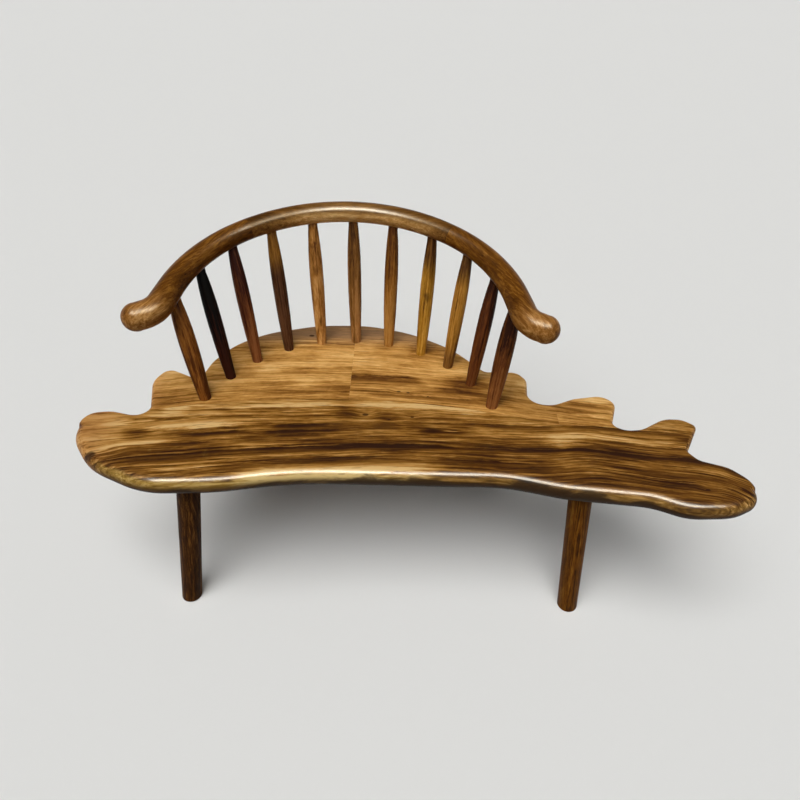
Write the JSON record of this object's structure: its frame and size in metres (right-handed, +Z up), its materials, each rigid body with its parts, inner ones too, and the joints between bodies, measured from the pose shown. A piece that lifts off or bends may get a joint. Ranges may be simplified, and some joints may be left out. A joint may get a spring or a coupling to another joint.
{
  "type": "wooden bench",
  "caption": "Wooden bench with a natural-edged plank seat, a round bow back with out-curled hands on turned spindles, and splayed round legs.",
  "frame": {"origin": "on the floor, under the middle of the bench's bounding box", "axes": "+X to the right seen from the front, along the seat; +Y to the back; +Z up"},
  "size_m": [1.4997, 0.6613, 0.7903],
  "materials": {
    "front_slab_lacquered": "satin lacquer, walnut-brown streaked grain",
    "rear_boards_lacquered": "satin lacquer, honey-brown grain",
    "bow_lacquered": "satin lacquer, mid brown",
    "sticks_dark": "satin lacquer, near-black brown",
    "sticks_red_brown": "satin lacquer, red-brown",
    "sticks_amber": "satin lacquer, golden brown",
    "legs_lacquered": "satin lacquer, walnut brown",
    "dowels_bare": "bare beech dowel"
  },
  "bodies": {
    "root": {"seat_front_slab": "front_slab_lacquered", "seat_rear_board_left": "rear_boards_lacquered", "seat_rear_board_right": "rear_boards_lacquered", "seat_side_block": "rear_boards_lacquered", "back_bow_centre": "bow_lacquered", "back_bow_left_arm": "bow_lacquered", "back_bow_right_arm": "bow_lacquered", "bow_dowel_left": "dowels_bare", "bow_dowel_right": "dowels_bare", "left_end_post": "sticks_red_brown", "right_end_post": "sticks_red_brown", "spindle_1": "sticks_dark", "spindle_2": "sticks_red_brown", "spindle_3": "sticks_amber", "spindle_4": "sticks_amber", "spindle_5": "sticks_amber", "spindle_6": "sticks_amber", "spindle_7": "sticks_amber", "spindle_8": "sticks_amber", "spindle_9": "sticks_red_brown", "leg_front_left": "legs_lacquered", "leg_front_right": "legs_lacquered", "leg_rear_left": "legs_lacquered", "leg_rear_right": "legs_lacquered"}
  },
  "joints": []
}
